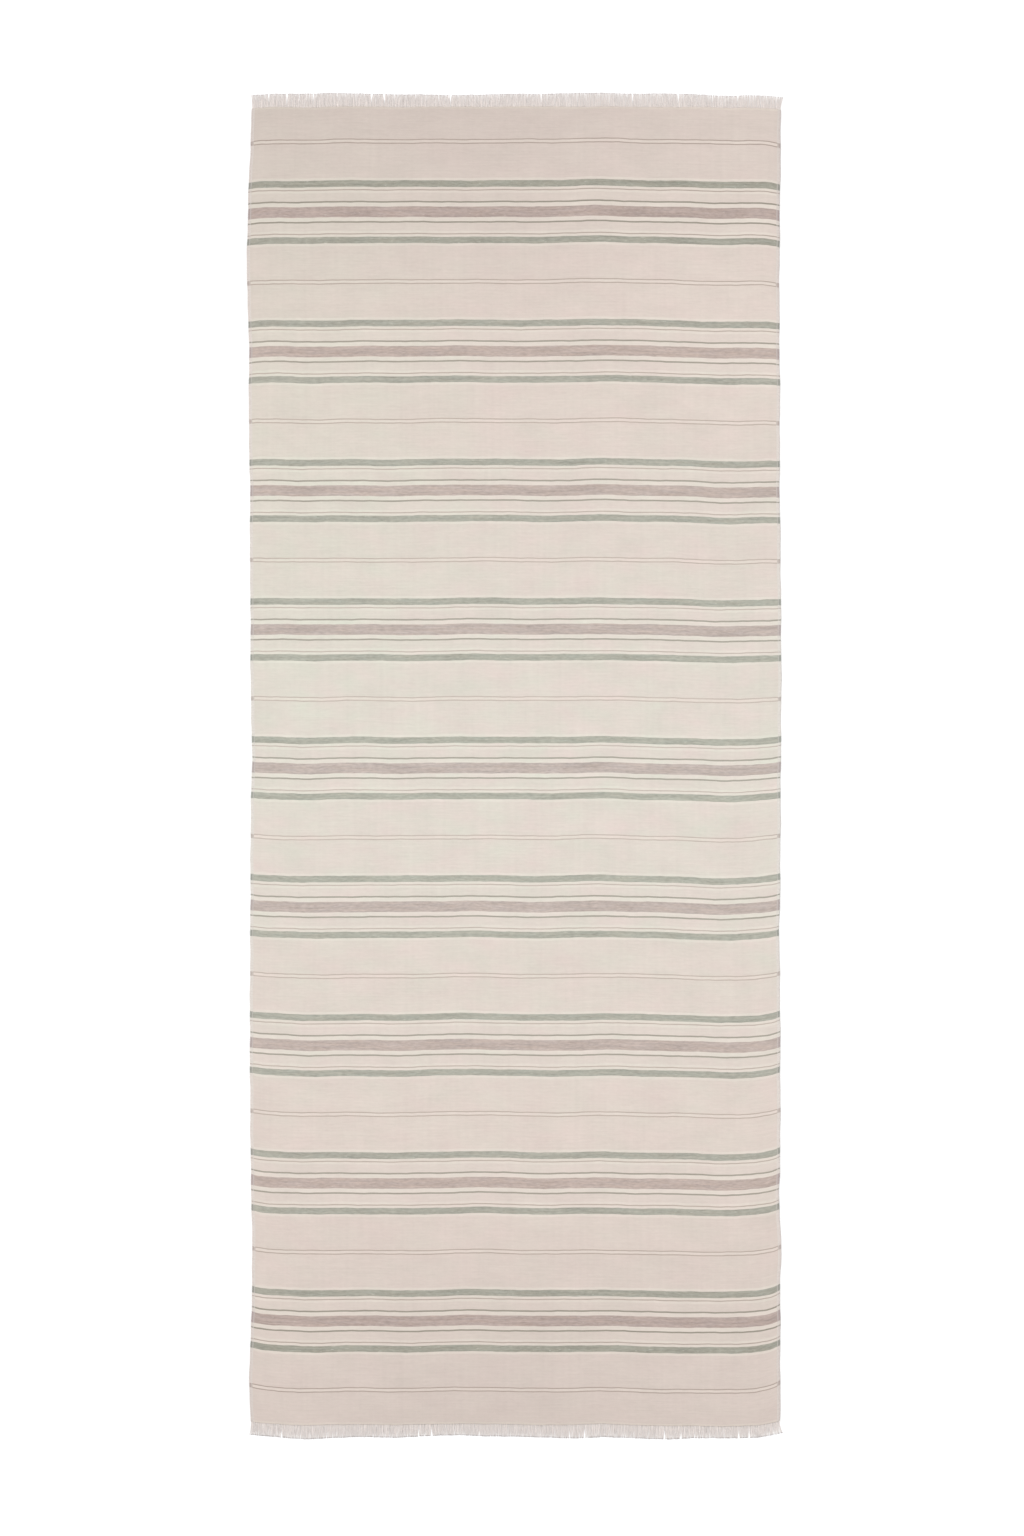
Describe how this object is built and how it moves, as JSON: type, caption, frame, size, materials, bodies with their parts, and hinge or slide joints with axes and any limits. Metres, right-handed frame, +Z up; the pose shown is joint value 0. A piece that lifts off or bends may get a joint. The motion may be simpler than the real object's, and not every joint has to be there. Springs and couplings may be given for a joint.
{
  "type": "runner rug",
  "caption": "Flat-woven striped cotton runner rug with a cut fringe at both ends, in four panels that fold flat",
  "frame": {"origin": "centre of the underside, on the floor", "axes": "+X to the right across the width, +Y along the length towards the upper end, +Z up out of the face"},
  "size_m": [0.8, 2.036, 0.002],
  "materials": {
    "ground_cotton": "matt plain weave, pale sand",
    "sage_green_yarn": "matt, heathered sage green",
    "mauve_yarn": "matt, heathered dusty mauve",
    "dark_grey_green_yarn": "matt, grey-green",
    "taupe_yarn": "matt, taupe",
    "cream_yarn": "matt, cream",
    "selvedge_cotton": "matt, tightly woven edge",
    "fringe_warp_cotton": "matt, loose cut warp ends"
  },
  "bodies": {
    "lower_end": {"plain_field_1": "ground_cotton", "plain_field_2": "ground_cotton", "plain_field_3_outer": "ground_cotton", "green_bands_1": "sage_green_yarn", "green_bands_2": "sage_green_yarn", "mauve_band_1": "mauve_yarn", "mauve_band_2": "mauve_yarn", "inner_ground_lower_end": "ground_cotton", "cream_lines_lower_end": "cream_yarn", "dark_lines_lower_end": "dark_grey_green_yarn", "taupe_lines_lower_end": "taupe_yarn", "left_selvedge_lower_end": "selvedge_cotton", "right_selvedge_lower_end": "selvedge_cotton", "lower_locking_row": "ground_cotton", "lower_fringe": "fringe_warp_cotton"},
    "lower_middle": {"plain_field_3_inner": "ground_cotton", "plain_field_4": "ground_cotton", "plain_field_5": "ground_cotton", "green_bands_3": "sage_green_yarn", "green_bands_4": "sage_green_yarn", "green_bands_5_lower": "sage_green_yarn", "mauve_band_3": "mauve_yarn", "mauve_band_4": "mauve_yarn", "mauve_band_5_lower": "mauve_yarn", "inner_ground_lower_middle": "ground_cotton", "cream_lines_lower_middle": "cream_yarn", "dark_lines_lower_middle": "dark_grey_green_yarn", "taupe_lines_lower_middle": "taupe_yarn", "left_selvedge_lower_middle": "selvedge_cotton", "right_selvedge_lower_middle": "selvedge_cotton"},
    "upper_middle": {"plain_field_6": "ground_cotton", "plain_field_7": "ground_cotton", "plain_field_8_inner": "ground_cotton", "green_bands_5_upper": "sage_green_yarn", "green_bands_6": "sage_green_yarn", "green_bands_7": "sage_green_yarn", "mauve_band_5_upper": "mauve_yarn", "mauve_band_6": "mauve_yarn", "mauve_band_7": "mauve_yarn", "inner_ground_upper_middle": "ground_cotton", "cream_lines_upper_middle": "cream_yarn", "dark_lines_upper_middle": "dark_grey_green_yarn", "taupe_lines_upper_middle": "taupe_yarn", "left_selvedge_upper_middle": "selvedge_cotton", "right_selvedge_upper_middle": "selvedge_cotton"},
    "upper_end": {"plain_field_8_outer": "ground_cotton", "plain_field_9": "ground_cotton", "plain_field_10": "ground_cotton", "green_bands_8": "sage_green_yarn", "green_bands_9": "sage_green_yarn", "mauve_band_8": "mauve_yarn", "mauve_band_9": "mauve_yarn", "inner_ground_upper_end": "ground_cotton", "cream_lines_upper_end": "cream_yarn", "dark_lines_upper_end": "dark_grey_green_yarn", "taupe_lines_upper_end": "taupe_yarn", "left_selvedge_upper_end": "selvedge_cotton", "right_selvedge_upper_end": "selvedge_cotton", "upper_locking_row": "ground_cotton", "upper_fringe": "fringe_warp_cotton"}
  },
  "joints": [
    {"name": "middle_fold", "type": "hinge", "parent": "lower_middle", "child": "upper_middle", "pos_m": [0, 0, 0.0063], "axis": [1, 0, 0], "range_deg": [0, 180]},
    {"name": "lower_end_fold", "type": "hinge", "parent": "lower_middle", "child": "lower_end", "pos_m": [0, -0.512, 0.003], "axis": [-1, 0, 0], "range_deg": [0, 180]},
    {"name": "upper_end_fold", "type": "hinge", "parent": "upper_middle", "child": "upper_end", "pos_m": [0, 0.512, 0.003], "axis": [1, 0, 0], "range_deg": [0, 180]}
  ]
}
